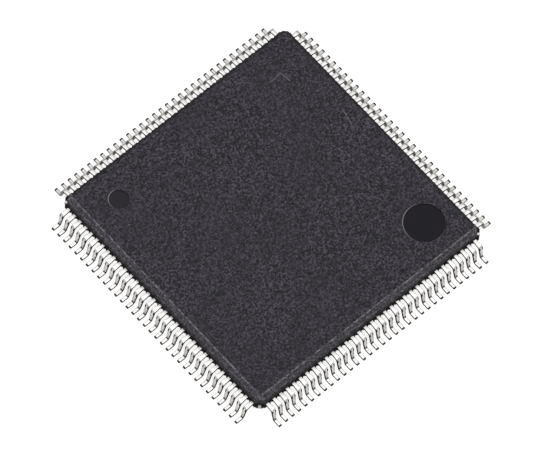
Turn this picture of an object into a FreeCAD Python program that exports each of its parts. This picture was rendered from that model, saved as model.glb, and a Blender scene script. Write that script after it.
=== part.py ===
import FreeCAD, Part
import math
import os

# Quad flat pack chip: a moulded square body with a row of gull-wing leads on each side.
# Millimetres. The origin is the middle of the plane that the feet stand on, +Z is up,
# and the index mark for lead 1 is at the -X +Y corner.

# Moulded body
body_side = 27.5            # across the parting line
body_thickness = 3.2
standoff = 0.15             # air under the body when the feet stand on a board
side_draft = 15.0           # degrees, all side faces, above and below the parting line
corner_chamfer = 0.6        # leg of the cut corner at the parting line
edge_radius = 0.1           # softened edge round the top and the bottom face

# Flash that the mould leaves at the parting line, as thick as the lead frame
flash_reach = 0.2           # beside each lead and across the cut corners
flash_hollow = 0.12         # how far it falls back midway between two leads

# Round marks left by the mould: the index mark, and an ejector pin above and one opposite it below
index_diameter = 1.87
index_place = 10.1          # from the middle, along X and along Y
index_depth = 0.15
ejector_diameter = 3.9
ejector_place = 9.9
ejector_depth = 0.12

# Lead frame
frame_thickness = 0.15
lead_pitch = 0.8
shoulder_width = 0.44       # of a lead, from the body to the end of its upper bend
foot_width = 0.34           # the leg narrows to it
row_end_margin = 0.75       # least distance from the last lead's middle to the corner
shoulder_length = 0.65      # flat part outside the parting line
leg_lean = 10.0             # degrees from upright
bend_radius = 0.2           # inside of both bends
shoulder_bend_flats = 2     # flats that the upper bend is made of
foot_bend_flats = 1
foot_length = 0.6           # flat part of the foot
anchor_depth = 1.5          # how far a lead goes into the body

# Die pad, in one piece with its four tie bars, and what it carries
pad_side = 11.0
pad_downset = 0.3           # how far the pad lies under the leads
tie_width = 0.25
tie_clearance = 0.15        # from a tie bar to the nearest lead
tie_stub = 0.05             # how far the cut end stands out of the flash
tie_ramp = 0.8              # run of the sloping step in each tie bar
tie_outer_run = 4.0         # level part of a tie bar, from the corner inwards
die_side = 8.4
die_thickness = 0.4
die_attach_thickness = 0.04

up = FreeCAD.Vector(0, 0, 1)
centre = FreeCAD.Vector(0, 0, 0)

half_side = body_side / 2
body_bottom = standoff
body_top = standoff + body_thickness
frame_bottom = standoff + body_thickness / 2 - frame_thickness / 2
frame_top = frame_bottom + frame_thickness
draft_slope = math.tan(math.radians(side_draft))

leads_per_side = int((body_side - 2 * row_end_margin) / lead_pitch) + 1
row_places = [(i - (leads_per_side - 1) / 2) * lead_pitch for i in range(leads_per_side)]


def octagon(offset, z):
    """Square with cut corners, every side moved out by the offset, counterclockwise from above."""
    half = half_side + offset
    near = half - corner_chamfer - offset * (2 - math.sqrt(2))
    points = [(half, -near), (half, near), (near, half), (-near, half),
              (-half, near), (-half, -near), (-near, -half), (near, -half)]
    return [FreeCAD.Vector(x, y, z) for x, y in points]


def flat_face(points):
    return Part.Face(Part.makePolygon(points + points[:1]))


def skin(outlines):
    """Solid with flat sides through a row of outlines that have as many points each."""
    faces = [flat_face(outlines[0][::-1]), flat_face(outlines[-1])]
    for near, far in zip(outlines, outlines[1:]):
        for i in range(len(near)):
            j = (i + 1) % len(near)
            faces.append(flat_face([near[i], near[j], far[j], far[i]]))
    return Part.makeSolid(Part.makeShell(faces))


def body_half(z_face, z_flash):
    """Half of the body, from its top or bottom face to the flash, with the face's edge softened."""
    narrow = octagon(-abs(z_face - z_flash) * draft_slope, z_face)
    wide = octagon(0, z_flash)
    solid = skin([narrow, wide] if z_face < z_flash else [wide, narrow])
    rim = [edge for edge in solid.Edges if all(abs(v.Z - z_face) < edge_radius / 2 for v in edge.Vertexes)]
    return solid.makeFillet(edge_radius, rim)


def flash():
    """Thin web at the parting line, notched between the leads and running round the cut corners."""
    edge = -half_side - flash_reach
    side = []
    for place in reversed(row_places):
        side.append((edge, place + shoulder_width / 2))
        side.append((edge, place - shoulder_width / 2))
        if place > row_places[0]:
            side.append((edge + flash_hollow, place - lead_pitch / 2))
    corner = octagon(flash_reach, frame_bottom)
    side = [(corner[4].x, corner[4].y)] + side + [(corner[5].x, corner[5].y)]
    outline = []
    for quarter in range(4):
        turn = FreeCAD.Rotation(up, 90 * quarter)
        outline += [turn.multVec(FreeCAD.Vector(x, y, frame_bottom)) for x, y in side]
    return flat_face(outline).extrude(up * frame_thickness)


def round_mark(x, y, diameter, depth, z_face):
    """Cutter for a shallow round mark in the top or the bottom face."""
    return Part.makeCylinder(diameter / 2, 2 * depth, FreeCAD.Vector(x, y, z_face - depth))


def lead_edge(first_radius, second_radius, z_start, anchor):
    """One long edge of a lead's profile along +X: anchor, shoulder, bend, leg, bend, foot."""
    turn = math.radians(90 - leg_lean)
    drop = frame_bottom
    leg = (drop - (first_radius + second_radius) * (1 - math.cos(turn))) / math.sin(turn)
    points = [(half_side - anchor, z_start)]
    x, z = half_side + shoulder_length, z_start
    for i in range(shoulder_bend_flats + 1):
        angle = turn * i / shoulder_bend_flats
        points.append((x + first_radius * math.sin(angle), z - first_radius * (1 - math.cos(angle))))
    x = points[-1][0] + leg * math.cos(turn) + second_radius * math.sin(turn)
    z = z_start - drop
    for i in range(foot_bend_flats + 1):
        angle = turn * (1 - i / foot_bend_flats)
        points.append((x - second_radius * math.sin(angle), z + second_radius * (1 - math.cos(angle))))
    points.append((x + foot_length, z))
    return points


def lead(anchor):
    """Gull-wing lead with its foot on Z = 0, pointing along -X at Y = 0."""
    outside = bend_radius + frame_thickness
    upper = lead_edge(outside, bend_radius, frame_top, anchor)
    lower = lead_edge(bend_radius, outside, frame_bottom, anchor)
    sections = []
    for i in range(len(upper)):
        half = (shoulder_width if i <= shoulder_bend_flats + 1 else foot_width) / 2
        corners = [(-half, upper[i]), (half, upper[i]), (half, lower[i]), (-half, lower[i])]
        sections.append([FreeCAD.Vector(-x, y, z) for y, (x, z) in corners])
    return skin(sections)


def lead_row(quarter):
    """All leads of one side: 0 is the -X side, and each step is a quarter turn counterclockwise."""
    tie_room = (tie_width / 2 + tie_clearance) * math.sqrt(2)
    row = []
    for place in row_places:
        room = half_side - abs(place) - shoulder_width / 2 - tie_room
        one = lead(min(anchor_depth, room))
        one.translate(FreeCAD.Vector(0, place, 0))
        one.rotate(centre, up, 90 * quarter)
        row.append(one)
    return row


def tie_bar(quarter):
    """Tie bar from inside the pad to the cut corner, with its sloping step down to the pad."""
    corner = half_side * math.sqrt(2)
    tip = corner - corner_chamfer / math.sqrt(2) + flash_reach + tie_stub
    step_out = corner - tie_outer_run
    step_in = step_out - tie_ramp
    root = pad_side / math.sqrt(2) - tie_width / 2
    lower = [(root, frame_bottom - pad_downset), (step_in, frame_bottom - pad_downset),
             (step_out, frame_bottom), (tip, frame_bottom)]
    upper = [(x, z + frame_thickness) for x, z in lower]
    side = [FreeCAD.Vector(x, -tie_width / 2, z) for x, z in lower + upper[::-1]]
    bar = flat_face(side).extrude(FreeCAD.Vector(0, tie_width, 0))
    bar.rotate(centre, up, 45 + 90 * quarter)
    return bar


def plate(side, thickness, z):
    return Part.makeBox(side, side, thickness, FreeCAD.Vector(-side / 2, -side / 2, z))


def mould_body(held):
    """The moulded block with its flash and round marks, and room for all that it holds."""
    block = body_half(body_top, frame_top).fuse([body_half(body_bottom, frame_bottom), flash()])
    marks = [round_mark(-index_place, index_place, index_diameter, index_depth, body_top),
             round_mark(ejector_place, -ejector_place, ejector_diameter, ejector_depth, body_top),
             round_mark(ejector_place, -ejector_place, ejector_diameter, ejector_depth, body_bottom)]
    return block.cut(marks + held).removeSplitter()


rows = {"leads_west": lead_row(0), "leads_south": lead_row(1), "leads_east": lead_row(2), "leads_north": lead_row(3)}
pad_top = frame_top - pad_downset
pad = plate(pad_side, frame_thickness, pad_top - frame_thickness).fuse([tie_bar(i) for i in range(4)])
pad = pad.removeSplitter()
die_attach = plate(die_side, die_attach_thickness, pad_top)
die = plate(die_side, die_thickness, pad_top + die_attach_thickness)
leads = [one for row in rows.values() for one in row]
body = mould_body(leads + [pad, die_attach, die])

os.makedirs("parts", exist_ok=True)
body.exportStep("parts/mould_body.step")
pad.exportStep("parts/die_pad.step")
die_attach.exportStep("parts/die_attach.step")
die.exportStep("parts/silicon_die.step")
for name, row in rows.items():
    Part.makeCompound(row).exportStep("parts/" + name + ".step")
print("leads per side", leads_per_side, "body valid", body.isValid(), "solids", len(body.Solids))
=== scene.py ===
import math
import random
import bmesh
import bpy
from mathutils import Matrix, Vector


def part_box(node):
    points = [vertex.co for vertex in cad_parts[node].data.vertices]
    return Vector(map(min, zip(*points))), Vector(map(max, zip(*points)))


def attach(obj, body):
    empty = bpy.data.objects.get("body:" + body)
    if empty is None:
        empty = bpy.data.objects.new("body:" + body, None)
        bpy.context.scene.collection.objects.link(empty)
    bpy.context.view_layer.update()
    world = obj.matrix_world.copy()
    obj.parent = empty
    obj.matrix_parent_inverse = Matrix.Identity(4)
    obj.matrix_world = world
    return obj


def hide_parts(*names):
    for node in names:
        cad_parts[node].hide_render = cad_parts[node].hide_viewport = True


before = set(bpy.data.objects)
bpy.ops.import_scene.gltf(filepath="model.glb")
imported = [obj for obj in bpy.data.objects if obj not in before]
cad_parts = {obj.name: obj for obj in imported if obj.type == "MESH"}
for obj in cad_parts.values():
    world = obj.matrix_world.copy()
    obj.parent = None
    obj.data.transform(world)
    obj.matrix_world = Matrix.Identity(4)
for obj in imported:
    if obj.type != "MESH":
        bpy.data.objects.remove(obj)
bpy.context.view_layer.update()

# Quad flat pack chip: a black moulded body with a row of tinned gull-wing leads on each side.
# Lengths are in metres, written as a number of millimetres times MM.
# West is -X, south -Y, east +X and north +Y. West and south are nearest to the camera.
MM = 0.001

# Where the camera stood, fitted to the four corners, the marks and the toes in the photograph
CAMERA_AZIMUTH = math.radians(-47.66)
CAMERA_ELEVATION = math.radians(64.60)
CAMERA_ROLL = math.radians(-6.81)
CAMERA_DISTANCE = 950.28 * MM
CAMERA_CLIP = (0.05, 20)
LENS, SENSOR_WIDTH = 686.1, 36     # millimetres
FRAME_WIDTH, FRAME_HEIGHT = 540, 450
TOP_CENTRE_PIXEL = (273.20, 211.00)
PIXELS_PER_MM = 10.830             # at the middle of the top face

# Lead, as in the CAD model, but with true round bends and softened edges
LEAD_PITCH = 0.8 * MM
ROOT_WIDTH = 0.40 * MM             # at the body
SHOULDER_WIDTH = 0.44 * MM         # as the CAD model has it all along the shoulder
BEND_WIDTH = 0.48 * MM             # what the cut dam bar left at the upper bend
FOOT_WIDTH = 0.34 * MM             # the leg narrows to it
LEAD_THICKNESS = 0.15 * MM         # of the bare strip, inside the body
PLATED_THICKNESS = 0.18 * MM       # outside
SHOULDER_LENGTH = 0.65 * MM
LEG_LEAN = math.radians(10)
BEND_RADIUS = 0.2 * MM             # inside of both bends
BEND_STEPS = 8                     # that each round bend is drawn with
ANCHOR_DEPTH = 1.5 * MM
TIE_ROOM = 0.389 * MM              # kept clear beside the tie bars
LEAD_EDGE_RADIUS = 0.045 * MM      # stamped edges under the plating
EDGE_STEPS = 3                     # that each softened edge is drawn with
TIP_ROUNDING = 0.6                 # how far the toe's last section draws in, in edge radii
TIP_STATIONS = 3                   # sections of a lead in its bare tip
LEAD_CREASE = math.radians(40)     # sharper edges than this stay sharp
TONE_SEED = 40                     # first seed of the small differences from lead to lead

# A lead's finishes, in the order of its material slots
TIN, CUT_END, STAMPED = 0, 1, 2

# Strips round a lead's section that are tin: the top (3), the underside (11) and the upper edge that faces
# away from the camera. The rest take the side's dark finish, the upper edge towards the camera as painted
# shade.
# The first set is for west and north, the second for south and east.
TINNED_STRIPS = ((3, 11, 0, 1, 2), (3, 11, 4, 5, 6))

# How far back from its end each toe's tin is torn off
BARE_TIP = {"west": 0.14 * MM, "south": 0.14 * MM, "east": 0.17 * MM, "north": 0.17 * MM}

# Painted shade on each lead at its two bends: middle, along the lead from the body, and reach either way
UPPER_BEND_SHADE = (1.06 * MM, 0.16 * MM)
LOWER_BEND_SHADE = (2.28 * MM, 0.11 * MM)

# Moulded body. Its finishes are the compound, one for each round mark, and the flash.
FLASH_REACH = 0.2 * MM
FLASH_SLOT = 3
PIN_MARKS = (((-10.1 * MM, 10.1 * MM), 1.87 * MM / 2),     # middle and radius: the index mark
             ((9.9 * MM, -9.9 * MM), 3.9 * MM / 2))        # and the ejector mark
MARK_LIP, LIP_STEPS = 0.07 * MM, 3  # rounded rim of each round mark
DEEPEST_MARK = 0.3 * MM            # deeper than any of the marks
TOP_EDGE_REACH = 13.29 * MM        # from the middle of the top face to its softened edge
BODY_CREASE = math.radians(32)
MERGE_DISTANCE = 0.0005 * MM
FLAT_ANGLE = math.radians(0.5)     # facets that turn less than this are one face
TINY = 0.01 * MM

# Painted highlights on the compound, and its scratches
EDGE_HIGHLIGHT_REACH = 0.06 * MM        # either way from the edge of the top face
RIM_HIGHLIGHT_REACH = 0.05 * MM         # either way from the middle of the light arc
RIM_HIGHLIGHT_SIDE = (-0.674, 0.739, 0)  # the left in the photograph
SCRATCHES = (((8.7, 10.06), (9.9, 10.2)),                  # both ends, in millimetres on the top face
             ((9.9, 10.2), (10.06, 9.0)),
             ((11.83, 3.58), (11.44, 1.89)),
             ((-11.11, 7.54), (-11.05, 7.5)),
             ((-10.34, 7.63), (-10.3, 7.6)),
             ((11.34, 10.07), (11.38, 10.07)))

# Studio, in metres
FLOOR_SIZE = 4.0
FLOOR_GAP = 0.01 * MM              # under the feet
SOFTBOX_TOWARDS_CAMERA, SOFTBOX_HEIGHT = 0.5, 1.65
SOFTBOX_SIZE = (3.2, 3.4)
SOFTBOX_WATTS = 44

body_low, body_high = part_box("mould_body")
half_side = body_high.x - FLASH_REACH
toe_reach = -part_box("leads_west")[0].x
frame_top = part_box("leads_west")[1].z
parting_line = frame_top - LEAD_THICKNESS / 2
row_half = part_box("leads_west")[1].y


def linear(code):
    """sRGB hex colour to the linear colour that the shaders take."""
    channels = [int(code[i:i + 2], 16) / 255 for i in (1, 3, 5)]
    return tuple(c / 12.92 if c <= 0.04045 else ((c + 0.055) / 1.055) ** 2.4 for c in channels) + (1.0,)


def add(tree, kind, inputs=None, **settings):
    """Adds a node with its settings, and gives each named input a value or a link."""
    node = tree.nodes.new(kind)
    for name, value in settings.items():
        setattr(node, name, value)
    for name, value in (inputs or {}).items():
        if isinstance(value, bpy.types.NodeSocket):
            tree.links.new(value, node.inputs[name])
        else:
            node.inputs[name].default_value = value
    return node


def empty_tree(owner):
    """The node tree of a material or a world, with nothing in it."""
    owner.use_nodes = True
    owner.node_tree.nodes.clear()
    return owner.node_tree


def new_material(name):
    """An empty material, its node tree and the place on the object that its patterns follow."""
    material = bpy.data.materials.new(name)
    tree = empty_tree(material)
    return material, tree, add(tree, "ShaderNodeTexCoord").outputs["Object"]


def rim_painted_highlight(tree, place, centre, radius):
    """Painted highlight: a light arc just outside the rim of a round mark, on one side of it only."""
    out = add(tree, "ShaderNodeVectorMath", {0: place, 1: (*centre, body_high.z)},
              operation="SUBTRACT").outputs[0]
    distance = add(tree, "ShaderNodeVectorMath", {0: out}, operation="LENGTH").outputs["Value"]
    on_rim = add(tree, "ShaderNodeMath", {0: distance, 1: radius + RIM_HIGHLIGHT_REACH, 2: RIM_HIGHLIGHT_REACH},
                 operation="COMPARE")
    toward = add(tree, "ShaderNodeVectorMath", {0: out, 1: RIM_HIGHLIGHT_SIDE},
                 operation="DOT_PRODUCT").outputs["Value"]
    turned = add(tree, "ShaderNodeMapRange", {"Value": toward, "From Min": 0.35 * radius,
                                              "From Max": radius, "To Max": 0.85})
    return add(tree, "ShaderNodeMath", {0: on_rim.outputs[0], 1: turned.outputs["Result"]},
               operation="MULTIPLY").outputs[0]


def scratch(tree, place, start, end):
    """Faint straight scratch in the top face, thin at both sides of its line."""
    first = Vector((*start, 0)) * MM + Vector((0, 0, body_high.z))
    run = Vector((end[0] - start[0], end[1] - start[1], 0)) * MM
    off = add(tree, "ShaderNodeVectorMath", {0: place, 1: first}, operation="SUBTRACT").outputs[0]
    share = add(tree, "ShaderNodeVectorMath", {0: off, 1: run / run.length_squared},
                operation="DOT_PRODUCT")
    clamped = add(tree, "ShaderNodeClamp", {"Value": share.outputs["Value"]})
    foot = add(tree, "ShaderNodeVectorMath", {0: run, "Scale": clamped.outputs[0]},
               operation="SCALE").outputs[0]
    distance = add(tree, "ShaderNodeVectorMath", {0: off, 1: foot}, operation="DISTANCE").outputs["Value"]
    return add(tree, "ShaderNodeMapRange", {"Value": distance, "From Min": 0.02 * MM,
                                            "From Max": 0.08 * MM, "To Min": 0.5,
                                            "To Max": 0.0}).outputs["Result"]


def far_edge_painted_shade(tree, far, z):
    """Painted shade along the east and north edges of the top face: 1 where the compound keeps its own
    tone.
    """
    edge = add(tree, "ShaderNodeMapRange", {"Value": far, "From Min": TOP_EDGE_REACH - 0.3 * MM,
                                            "From Max": TOP_EDGE_REACH, "To Min": 1.0, "To Max": 0.05})
    below = add(tree, "ShaderNodeMapRange", {"Value": z, "From Min": body_high.z - 0.2 * MM,
                                             "From Max": body_high.z - 0.1 * MM, "To Min": 1.0,
                                             "To Max": 0.0})
    return add(tree, "ShaderNodeMath", {0: edge.outputs["Result"], 1: below.outputs["Result"]},
               operation="MAXIMUM").outputs[0]


def flash_side_painted_shade(tree, z):
    """Painted shade in a band beside the flash, above and below it: 1 where the compound keeps its own
    tone.
    """
    above = add(tree, "ShaderNodeMath", {0: z, 1: parting_line}, operation="SUBTRACT")
    off = add(tree, "ShaderNodeMath", {0: above.outputs[0]}, operation="ABSOLUTE")
    return add(tree, "ShaderNodeMapRange", {"Value": off.outputs[0], "From Min": 0.22 * MM,
                                            "From Max": 0.82 * MM, "To Min": 0.12,
                                            "To Max": 1.0}).outputs["Result"]


def near_edge_painted_highlight(tree, place, near):
    """Broken painted highlight along the west and south edges of the top face."""
    on_edge = add(tree, "ShaderNodeMath", {0: near, 1: -TOP_EDGE_REACH, 2: EDGE_HIGHLIGHT_REACH},
                  operation="COMPARE")
    highlight_breaks = add(tree, "ShaderNodeTexNoise", {"Vector": place, "Scale": 1 / (0.28 * MM), "Detail": 3.0})
    broken = add(tree, "ShaderNodeMapRange", {"Value": highlight_breaks.outputs["Fac"], "From Min": 0.42,
                                              "From Max": 0.6, "To Min": 0.12, "To Max": 0.95})
    return add(tree, "ShaderNodeMath", {0: on_edge.outputs[0], 1: broken.outputs["Result"]},
               operation="MULTIPLY").outputs[0]


def side_drag(tree, place, z, outer, flash_painted_shade):
    """Light specks that the mould dragged down all four sides, and a fainter line halfway up them."""
    squeezed = add(tree, "ShaderNodeVectorMath", {0: place, 1: (1, 1, 1.6)}, operation="MULTIPLY")
    drag = add(tree, "ShaderNodeTexNoise", {"Vector": squeezed.outputs[0], "Scale": 1 / (0.24 * MM),
                                            "Detail": 3.0})
    drawn = add(tree, "ShaderNodeMapRange", {"Value": drag.outputs["Fac"], "From Min": 0.5,
                                             "From Max": 0.66, "To Max": 0.75})
    halfway = add(tree, "ShaderNodeMath", {0: z, 1: frame_top + 0.8 * MM, 2: 0.12 * MM},
                  operation="COMPARE")
    again = add(tree, "ShaderNodeMath", {0: halfway.outputs[0], 1: 0.1, 2: drawn.outputs["Result"]},
                operation="MULTIPLY_ADD")
    # The specks fade into the painted shade beside the flash
    faded = add(tree, "ShaderNodeMath", {0: again.outputs[0], 1: flash_painted_shade},
                operation="MULTIPLY", use_clamp=True)
    on_side = add(tree, "ShaderNodeMath", {0: outer, 1: TOP_EDGE_REACH + EDGE_HIGHLIGHT_REACH},
                  operation="GREATER_THAN")
    return add(tree, "ShaderNodeMath", {0: on_side.outputs[0], 1: faded.outputs[0]},
               operation="MULTIPLY").outputs[0]


def moulding_compound():
    """Black epoxy moulding compound from a spark-eroded mould: matt, with a fine uneven grain.

    The mould's craters are 0.03 to 0.06 mm across. They are drawn 0.18 mm wide so that they show.
    Painted shade darkens the far edges of the top face and a band beside the flash. Painted highlights
    lighten the near edges of the top face and an arc beside each of the two pin marks. Where the compound
    is scratched or dragged, its light filler shows: down the sides and in a few scratches."""
    material, tree, place = new_material("moulding_compound")
    x, y, z = add(tree, "ShaderNodeSeparateXYZ", {"Vector": place}).outputs
    far = add(tree, "ShaderNodeMath", {0: x, 1: y}, operation="MAXIMUM").outputs[0]
    near = add(tree, "ShaderNodeMath", {0: x, 1: y}, operation="MINIMUM").outputs[0]
    nearest = add(tree, "ShaderNodeMath", {0: near, 1: -1.0}, operation="MULTIPLY").outputs[0]
    outer = add(tree, "ShaderNodeMath", {0: nearest, 1: far}, operation="MAXIMUM").outputs[0]

    grain = add(tree, "ShaderNodeTexNoise", {"Vector": place, "Scale": 1 / (0.18 * MM), "Detail": 2.0,
                                             "Roughness": 0.66})
    cloud = add(tree, "ShaderNodeTexNoise", {"Vector": place, "Scale": 1 / (2.5 * MM), "Detail": 3.0,
                                             "Roughness": 0.55})
    patch = add(tree, "ShaderNodeTexNoise", {"Vector": place, "Scale": 1 / (5 * MM), "Detail": 1.0})
    depth = add(tree, "ShaderNodeMapRange", {"Value": patch.outputs["Fac"], "From Min": 0.35,
                                             "From Max": 0.65, "To Min": 2.0, "To Max": 3.3})
    centred = add(tree, "ShaderNodeMath", {0: grain.outputs["Fac"], 1: 0.5}, operation="SUBTRACT")
    pits = add(tree, "ShaderNodeMath", {0: centred.outputs[0], 1: depth.outputs["Result"], 2: 0.5},
               operation="MULTIPLY_ADD", use_clamp=True)
    specks = add(tree, "ShaderNodeMath", {0: pits.outputs[0], 1: 1.8}, operation="POWER")
    tone = add(tree, "ShaderNodeMix", {"Factor": specks.outputs[0], "A": linear("#020203"),
                                       "B": linear("#585360")}, data_type="RGBA")
    shade = add(tree, "ShaderNodeMapRange", {"Value": cloud.outputs["Fac"], "From Min": 0.3,
                                             "From Max": 0.7, "To Min": 0.64, "To Max": 0.71})
    flash_painted_shade = flash_side_painted_shade(tree, z)
    # Painted shade along the far edges of the top face and beside the flash
    rims = add(tree, "ShaderNodeMath", {0: far_edge_painted_shade(tree, far, z), 1: flash_painted_shade},
               operation="MULTIPLY")
    shaded = add(tree, "ShaderNodeMath", {0: shade.outputs["Result"], 1: rims.outputs[0]},
                 operation="MULTIPLY")
    colour = add(tree, "ShaderNodeVectorMath", {0: tone.outputs["Result"], 1: shaded.outputs[0]},
                 operation="MULTIPLY")

    # Painted highlights on the near edges and beside the pin marks, and real wear down the sides and in the
    # scratches, all lighten the compound to one colour
    wear_and_highlight = near_edge_painted_highlight(tree, place, near)
    worn_and_lit_places = [side_drag(tree, place, z, outer, flash_painted_shade)]
    worn_and_lit_places += [rim_painted_highlight(tree, place, *mark) for mark in PIN_MARKS]
    worn_and_lit_places += [scratch(tree, place, *ends) for ends in SCRATCHES]
    for worn_or_lit_place in worn_and_lit_places:
        wear_and_highlight = add(tree, "ShaderNodeMath", {0: wear_and_highlight, 1: worn_or_lit_place}, operation="MAXIMUM").outputs[0]
    worn_and_lit = add(tree, "ShaderNodeMix", {"Factor": wear_and_highlight, "A": colour.outputs["Vector"],
                                       "B": linear("#6f6c70")}, data_type="RGBA")
    bump = add(tree, "ShaderNodeBump", {"Strength": 1.0, "Distance": 0.06 * MM,
                                        "Height": grain.outputs["Fac"]})
    shader = add(tree, "ShaderNodeBsdfPrincipled", {"Base Color": worn_and_lit.outputs["Result"],
                                                    "Roughness": 0.62, "IOR": 1.55,
                                                    "Specular IOR Level": 0.2,
                                                    "Normal": bump.outputs["Normal"]})
    add(tree, "ShaderNodeOutputMaterial", {"Surface": shader.outputs["BSDF"]})
    return material


def clouded_finish(name, cloud_width, detail, dark, light, surface):
    """A material that drifts between two shades in clouds of the given width, with the given surface."""
    material, tree, place = new_material(name)
    cloud = add(tree, "ShaderNodeTexNoise", {"Vector": place, "Scale": 1 / cloud_width, "Detail": detail})
    colour = add(tree, "ShaderNodeMix", {"Factor": cloud.outputs["Fac"], "A": linear(dark),
                                         "B": linear(light)}, data_type="RGBA")
    shader = add(tree, "ShaderNodeBsdfPrincipled", {"Base Color": colour.outputs["Result"], **surface})
    add(tree, "ShaderNodeOutputMaterial", {"Surface": shader.outputs["BSDF"]})
    return material


def pin_polish(name, dark, light, roughness):
    """The same compound where a ground steel pin closed the mould: smooth and darker."""
    return clouded_finish(name, 0.8 * MM, 2.0, dark, light,
                          {"Roughness": roughness, "IOR": 1.55, "Specular IOR Level": 0.08})


def flash_resin_and_painted_shade():
    """Resin that bled out where the mould closed: a thin film without filler, smooth and black.

    Its near-black is partly painted shade, for the shade between the lead roots.
    """
    return clouded_finish("flash_resin_and_painted_shade", 0.3 * MM, 2.0, "#020202", "#0b0b0c",
                          {"Roughness": 0.3, "IOR": 1.5, "Specular IOR Level": 0.15})


def bare_cut_end():
    """Sheared end of the strip, its base metal bare and tarnished: dark, dull and torn."""
    return clouded_finish("bare_cut_end", 0.08 * MM, 2.0, "#141311", "#34312b",
                          {"Metallic": 0.6, "Roughness": 0.65})


def frame_metal():
    """Rolled nickel-iron strip, bare: a warm grey metal with a soft shine."""
    return clouded_finish("frame_metal", 0.5 * MM, 3.0, "#a9a7a1", "#c4c2bc",
                          {"Metallic": 1.0, "Roughness": 0.4})


def silver_epoxy():
    """Epoxy filled with silver flakes, dispensed and cured: dull grey, half metallic."""
    return clouded_finish("silver_epoxy", 0.2 * MM, 3.0, "#8d8d8a", "#a5a5a1",
                          {"Metallic": 0.5, "Roughness": 0.6})


def polished_silicon():
    """Silicon wafer, ground and polished: a dark blue-grey mirror."""
    return clouded_finish("polished_silicon", 1.0 * MM, 3.0, "#4c5057", "#585c64",
                          {"Metallic": 0.8, "Roughness": 0.15})


def matt_tin(name, shadowed_root, shoulder_shade, foot_shade, bend_shade_colour):
    """Electroplated matt tin over stamped strip: a white metal, slightly cloudy.

    A painted shadow darkens it out to the given distance from the body. Painted shade in the given colour
    darkens the edges of the upper bend and the whole of the lower one. Shoulders and feet are dimmed
    to the given shares of clean tin: painted shade."""
    material, tree, place = new_material(name)
    cloud = add(tree, "ShaderNodeTexNoise", {"Vector": place, "Scale": 1 / (0.25 * MM), "Detail": 3.0})
    on_lead = add(tree, "ShaderNodeAttribute", attribute_name="lead_place").outputs["Vector"]
    along, across, tone = add(tree, "ShaderNodeSeparateXYZ", {"Vector": on_lead}).outputs
    clean = add(tree, "ShaderNodeMix", {"Factor": tone, "A": linear("#cfcdca"), "B": linear("#dddbd8")},
                data_type="RGBA")
    # Painted shade dims the shoulders and feet to the given shares
    painted_dimming = add(tree, "ShaderNodeMapRange", {"Value": along, "From Min": 0.8 * MM, "From Max": 1.2 * MM,
                                            "To Min": shoulder_shade, "To Max": foot_shade})
    # Painted shadow on the root, out from the body
    root_shadow = add(tree, "ShaderNodeMapRange", {"Value": along, "From Min": shadowed_root - 0.04 * MM,
                                             "From Max": shadowed_root + 0.03 * MM, "To Min": 0.03,
                                             "To Max": 1.0})
    shade = add(tree, "ShaderNodeMath", {0: painted_dimming.outputs["Result"], 1: root_shadow.outputs["Result"]},
                operation="MULTIPLY")
    tin_with_painted_shade = add(tree, "ShaderNodeVectorMath", {0: clean.outputs["Result"], 1: shade.outputs[0]},
               operation="MULTIPLY")

    # Painted shade at the edges of the upper bend and across the whole lower bend
    off_middle = add(tree, "ShaderNodeMath", {0: across}, operation="ABSOLUTE").outputs[0]
    upper, lower = [add(tree, "ShaderNodeMath", {0: along, 1: middle, 2: reach},
                        operation="COMPARE").outputs[0] for middle, reach in (UPPER_BEND_SHADE, LOWER_BEND_SHADE)]
    at_edge = add(tree, "ShaderNodeMapRange", {"Value": off_middle, "From Min": 0.07 * MM,
                                               "From Max": 0.11 * MM})
    upper_edges = add(tree, "ShaderNodeMath", {0: upper, 1: at_edge.outputs["Result"]},
                      operation="MULTIPLY")
    bend_shade = add(tree, "ShaderNodeMath", {0: upper_edges.outputs[0], 1: lower}, operation="ADD",
              use_clamp=True)
    colour = add(tree, "ShaderNodeMix", {"Factor": bend_shade.outputs[0], "A": tin_with_painted_shade.outputs["Vector"],
                                         "B": linear(bend_shade_colour)}, data_type="RGBA")
    rough = add(tree, "ShaderNodeMapRange", {"Value": cloud.outputs["Fac"], "From Min": 0.3,
                                             "From Max": 0.7, "To Min": 0.24, "To Max": 0.34})
    bump = add(tree, "ShaderNodeBump", {"Strength": 0.4, "Distance": 0.004 * MM,
                                        "Height": cloud.outputs["Fac"]})
    shader = add(tree, "ShaderNodeBsdfPrincipled", {"Base Color": colour.outputs["Result"],
                                                    "Metallic": 1.0,
                                                    "Roughness": rough.outputs["Result"],
                                                    "Normal": bump.outputs["Normal"]})
    add(tree, "ShaderNodeOutputMaterial", {"Surface": shader.outputs["BSDF"]})
    return material


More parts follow.
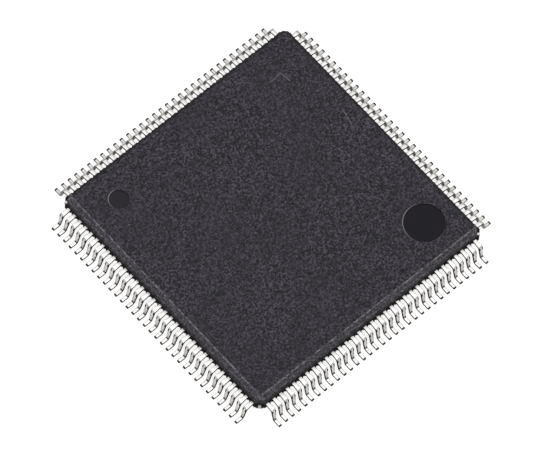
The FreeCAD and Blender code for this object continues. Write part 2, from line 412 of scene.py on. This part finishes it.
def shaded_stamped_side(name, dark, light, outer_tone):
    """Side of a lead, punched out of strip that was plated before: torn base metal under thin oxide.
    Its near-black is partly painted shade.

    From the upper bend on it takes the given tone instead, a painted light on the far rows."""
    material, tree, place = new_material(name)
    streak = add(tree, "ShaderNodeTexNoise", {"Vector": place, "Scale": 1 / (0.1 * MM), "Detail": 2.0})
    torn_and_shaded = add(tree, "ShaderNodeMix", {"Factor": streak.outputs["Fac"], "A": linear(dark),
                                       "B": linear(light)}, data_type="RGBA")
    on_lead = add(tree, "ShaderNodeAttribute", attribute_name="lead_place").outputs["Vector"]
    along = add(tree, "ShaderNodeSeparateXYZ", {"Vector": on_lead}).outputs["X"]
    # From the upper bend on, the given tone: painted light on the far rows
    past_bend = add(tree, "ShaderNodeMapRange", {"Value": along, "From Min": 0.7 * MM,
                                              "From Max": 0.95 * MM})
    colour = add(tree, "ShaderNodeMix", {"Factor": past_bend.outputs["Result"], "A": torn_and_shaded.outputs["Result"],
                                         "B": linear(outer_tone)}, data_type="RGBA")
    shader = add(tree, "ShaderNodeBsdfPrincipled", {"Base Color": colour.outputs["Result"],
                                                    "Roughness": 0.7, "IOR": 1.5,
                                                    "Specular IOR Level": 0.1})
    add(tree, "ShaderNodeOutputMaterial", {"Surface": shader.outputs["BSDF"]})
    return material


def piece(name, mesh, materials, node):
    """Puts a mesh into the scene as a piece that stands for a CAD node."""
    obj = bpy.data.objects.new(name, mesh)
    bpy.context.scene.collection.objects.link(obj)
    for material in materials:
        mesh.materials.append(material)
    flat = obj.modifiers.new("keep_flats_flat", "WEIGHTED_NORMAL")
    flat.keep_sharp = True
    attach(obj, "root")
    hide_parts(node)
    return obj


def lead_stations(anchor, bare_tip):
    """Sections along a lead: distance from the body's middle, height, slope, width and thickness."""
    turn = math.radians(90) - LEG_LEAN
    radius = BEND_RADIUS + LEAD_THICKNESS / 2
    level = frame_top - PLATED_THICKNESS / 2
    foot = PLATED_THICKNESS / 2
    drop = level - foot
    leg = (drop - 2 * radius * (1 - math.cos(turn))) / math.sin(turn)
    stations = [(half_side - anchor, parting_line, 0.0, ROOT_WIDTH, LEAD_THICKNESS),
                (half_side + FLASH_REACH / 2, parting_line, 0.0, ROOT_WIDTH, LEAD_THICKNESS),
                (half_side + FLASH_REACH, level, 0.0, ROOT_WIDTH, PLATED_THICKNESS)]
    x = half_side + SHOULDER_LENGTH
    for i in range(BEND_STEPS + 1):
        angle = turn * i / BEND_STEPS
        stations.append((x + radius * math.sin(angle), level - radius * (1 - math.cos(angle)), angle,
                         BEND_WIDTH, PLATED_THICKNESS))
    x = stations[-1][0] + leg * math.cos(turn) + radius * math.sin(turn)
    for i in range(BEND_STEPS + 1):
        angle = turn * (1 - i / BEND_STEPS)
        stations.append((x - radius * math.sin(angle), foot + radius * (1 - math.cos(angle)), angle,
                         FOOT_WIDTH, PLATED_THICKNESS))
    for short in (bare_tip, LEAD_EDGE_RADIUS, 0.0):
        stations.append((toe_reach - short, foot, 0.0, FOOT_WIDTH, PLATED_THICKNESS))
    return stations


def lead_section(width, thickness, shrink):
    """Rounded rectangle across a lead, as (across, through) pairs, counterclockwise."""
    half_width, half_thickness = width / 2 - shrink, thickness / 2 - shrink
    radius = LEAD_EDGE_RADIUS
    points = []
    for corner in range(4):
        sign_across = 1 if corner in (0, 3) else -1
        sign_through = 1 if corner in (0, 1) else -1
        for i in range(EDGE_STEPS + 1):
            angle = math.radians(90 * corner + 90 / EDGE_STEPS * i)
            points.append((sign_across * (half_width - radius) + radius * math.cos(angle),
                           sign_through * (half_thickness - radius) + radius * math.sin(angle)))
    return points


def sweep_lead(bm, place, turn, bare_tip, tinned, tone):
    """Adds one lead to its row's mesh, and gives each point's way along, way across and tone."""
    anchor = min(ANCHOR_DEPTH, half_side - abs(place) - SHOULDER_WIDTH / 2 - TIE_ROOM)
    stations = lead_stations(anchor, bare_tip)
    along = -anchor
    rings, on_lead = [], []
    for j, (out, height, slope, width, thickness) in enumerate(stations):
        if j > 0:
            along += math.dist(stations[j - 1][:2], (out, height))
        shrink = LEAD_EDGE_RADIUS * TIP_ROUNDING if j == len(stations) - 1 else 0.0
        ring = []
        for across, through in lead_section(width, thickness, shrink):
            point = Vector((-(out + through * math.sin(slope)), place + across,
                            height + through * math.cos(slope)))
            ring.append(bm.verts.new(turn @ point))
            on_lead += [along, across, tone]
        rings.append(ring)
    for j in range(len(rings) - 1):
        for k in range(len(rings[j])):
            m = (k + 1) % len(rings[j])
            face = bm.faces.new((rings[j][k], rings[j][m], rings[j + 1][m], rings[j + 1][k]))
            face.smooth = True
            bare = j >= len(rings) - TIP_STATIONS
            face.material_index = CUT_END if bare else TIN if k in tinned else STAMPED
    bm.faces.new(rings[0][::-1])
    bm.faces.new(rings[-1]).material_index = CUT_END
    return on_lead


def lead_row(side, quarter, finishes):
    """One side's leads, each swept along its own bends, with small differences from lead to lead."""
    draw = random.Random(TONE_SEED + quarter)
    turn = Matrix.Rotation(math.radians(90 * quarter), 4, "Z")
    tinned = TINNED_STRIPS[quarter in (1, 2)]
    count = round((2 * row_half - SHOULDER_WIDTH) / LEAD_PITCH) + 1
    bm = bmesh.new()
    on_lead = []
    for i in range(count):
        place = (i - (count - 1) / 2) * LEAD_PITCH
        on_lead += sweep_lead(bm, place, turn, BARE_TIP[side], tinned, draw.random())
    bmesh.ops.recalc_face_normals(bm, faces=bm.faces)
    mesh = bpy.data.meshes.new(side + "_leads")
    bm.to_mesh(mesh)
    bm.free()
    mesh.attributes.new("lead_place", "FLOAT_VECTOR", "POINT").data.foreach_set("vector", on_lead)
    mesh.set_sharp_from_angle(angle=LEAD_CREASE)
    return piece(side + "_leads", mesh, finishes, "leads_" + side)


def moulded_body(finishes):
    """The CAD body with rounded rims on its round marks, and a finish for each kind of surface."""
    marks = [(Vector(centre), radius) for centre, radius in PIN_MARKS]
    bm = bmesh.new()
    bm.from_mesh(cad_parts["mould_body"].data)
    bmesh.ops.remove_doubles(bm, verts=bm.verts, dist=MERGE_DISTANCE)
    bmesh.ops.dissolve_limit(bm, angle_limit=FLAT_ANGLE, verts=bm.verts, edges=bm.edges)
    rims = []
    for edge in bm.edges:
        level = all(min(abs(v.co.z - body_high.z), abs(v.co.z - body_low.z)) < TINY for v in edge.verts)
        if level and any(all(abs((v.co.xy - centre).length - radius) < TINY for v in edge.verts)
                         for centre, radius in marks):
            rims.append(edge)
    bmesh.ops.bevel(bm, geom=rims, offset=MARK_LIP, segments=LIP_STEPS, profile=0.5, affect="EDGES")
    for face in bm.faces:
        face.smooth = True
        middle = face.calc_center_median()
        web = frame_top - LEAD_THICKNESS - TINY < middle.z < frame_top + TINY
        if web and max(abs(middle.x), abs(middle.y)) > half_side - TINY:
            face.material_index = FLASH_SLOT
        sunk = min(body_high.z - middle.z, middle.z - body_low.z)
        for i, (centre, radius) in enumerate(marks):
            if (middle.xy - centre).length < radius and TINY < sunk < DEEPEST_MARK:
                face.material_index = 1 + i
    mesh = bpy.data.meshes.new("moulded_body")
    bm.to_mesh(mesh)
    bm.free()
    mesh.set_sharp_from_angle(angle=BODY_CREASE)
    return piece("moulded_body", mesh, finishes, "mould_body")


def set_camera():
    """The photograph's viewpoint: turned a little off the top face's middle, which isn't the frame's."""
    back = Vector((math.sin(CAMERA_AZIMUTH) * math.cos(CAMERA_ELEVATION),
                   -math.cos(CAMERA_AZIMUTH) * math.cos(CAMERA_ELEVATION), math.sin(CAMERA_ELEVATION)))
    level = Vector((0, 0, 1)).cross(back).normalized()
    upright = back.cross(level)
    right = math.cos(CAMERA_ROLL) * level - math.sin(CAMERA_ROLL) * upright
    above = math.sin(CAMERA_ROLL) * level + math.cos(CAMERA_ROLL) * upright
    top_centre = Vector((0, 0, body_high.z))
    place = top_centre + back * CAMERA_DISTANCE
    aside = (FRAME_WIDTH / 2 - TOP_CENTRE_PIXEL[0]) / PIXELS_PER_MM * MM
    upward = (TOP_CENTRE_PIXEL[1] - FRAME_HEIGHT / 2) / PIXELS_PER_MM * MM
    aim = top_centre + right * aside + above * upward
    away = (place - aim).normalized()
    right = above.cross(away).normalized()
    above = away.cross(right)
    data = bpy.data.cameras.new("camera")
    data.lens = LENS
    data.sensor_width = SENSOR_WIDTH
    data.clip_start, data.clip_end = CAMERA_CLIP
    camera = bpy.data.objects.new("camera", data)
    camera.matrix_world = Matrix.Translation(place) @ Matrix((right, above, away)).transposed().to_4x4()
    bpy.context.scene.collection.objects.link(camera)
    bpy.context.scene.camera = camera


def pale_floor():
    """White floor that keeps the object's shadow. Only the camera sees it glow."""
    bm = bmesh.new()
    bmesh.ops.create_grid(bm, x_segments=2, y_segments=2, size=FLOOR_SIZE)
    mesh = bpy.data.meshes.new("floor")
    bm.to_mesh(mesh)
    bm.free()
    floor = bpy.data.objects.new("floor", mesh)
    floor.location.z = -FLOOR_GAP
    bpy.context.scene.collection.objects.link(floor)
    material = bpy.data.materials.new("pale_floor")
    tree = empty_tree(material)
    path = add(tree, "ShaderNodeLightPath")
    matt = add(tree, "ShaderNodeBsdfDiffuse", {"Color": linear("#ebebeb")})
    faint = add(tree, "ShaderNodeBsdfDiffuse", {"Color": linear("#909090")})
    glow = add(tree, "ShaderNodeEmission", {"Color": linear("#ffffff"), "Strength": 0.85})
    white = add(tree, "ShaderNodeAddShader", {0: faint.outputs["BSDF"], 1: glow.outputs["Emission"]})
    seen = add(tree, "ShaderNodeMixShader", {0: path.outputs["Is Camera Ray"], 1: matt.outputs["BSDF"],
                                             2: white.outputs["Shader"]})
    add(tree, "ShaderNodeOutputMaterial", {"Surface": seen.outputs["Shader"]})
    mesh.materials.append(material)


def studio_sky():
    """World light, a little dimmer overhead than near the horizon. The camera sees plain white."""
    world = bpy.data.worlds.new("studio")
    bpy.context.scene.world = world
    tree = empty_tree(world)
    path = add(tree, "ShaderNodeLightPath")
    direction = add(tree, "ShaderNodeTexCoord").outputs["Generated"]
    height = add(tree, "ShaderNodeSeparateXYZ", {"Vector": direction}).outputs["Z"]
    dim = add(tree, "ShaderNodeMapRange", {"Value": height, "From Min": 0.1, "From Max": 0.8,
                                           "To Min": 0.7, "To Max": 0.5})
    strength = add(tree, "ShaderNodeMath", {0: dim.outputs["Result"], 1: path.outputs["Is Camera Ray"]},
                   operation="MAXIMUM")
    sky = add(tree, "ShaderNodeBackground", {"Color": linear("#ffffff"), "Strength": strength.outputs[0]})
    add(tree, "ShaderNodeOutputWorld", {"Surface": sky.outputs["Background"]})


def overhead_softbox():
    """A large level lamp, square to the camera and a little on its side of the chip."""
    data = bpy.data.lights.new("overhead_softbox", "AREA")
    data.shape = "RECTANGLE"
    data.size, data.size_y = SOFTBOX_SIZE
    data.energy = SOFTBOX_WATTS
    lamp = bpy.data.objects.new("overhead_softbox", data)
    lamp.location = (math.sin(CAMERA_AZIMUTH) * SOFTBOX_TOWARDS_CAMERA,
                     -math.cos(CAMERA_AZIMUTH) * SOFTBOX_TOWARDS_CAMERA, SOFTBOX_HEIGHT)
    lamp.rotation_euler = (0, 0, CAMERA_AZIMUTH)
    lamp.visible_camera = False
    bpy.context.scene.collection.objects.link(lamp)


bpy.context.scene.view_settings.view_transform = "Standard"
set_camera()
pale_floor()
studio_sky()
overhead_softbox()

# The far rows are dulled and their sides polished, which stands for the light on them in the photograph
cut_end = bare_cut_end()
near_finishes = [matt_tin("matt_tin", 0.0, 1.0, 1.0, "#232221"), cut_end,
                 shaded_stamped_side("shaded_stamped_side", "#060605", "#151413", "#191817")]
far_finishes = [matt_tin("painted_shade_tin", 0.17 * MM, 0.86, 0.66, "#a9a7a4"), cut_end,
                shaded_stamped_side("shaded_and_lit_side", "#060605", "#151413", "#868582")]
for quarter, side in enumerate(("west", "south", "east", "north")):
    lead_row(side, quarter, near_finishes if quarter < 2 else far_finishes)
moulded_body([moulding_compound(), pin_polish("index_pin_polish", "#1c191e", "#262328", 0.4),
              pin_polish("ejector_pin_polish", "#0c0a0f", "#131017", 0.25), flash_resin_and_painted_shade()])
inside = {"die_pad": frame_metal(), "die_attach": silver_epoxy(), "silicon_die": polished_silicon()}
for node, finish in inside.items():
    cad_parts[node].data.materials.clear()
    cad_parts[node].data.materials.append(finish)
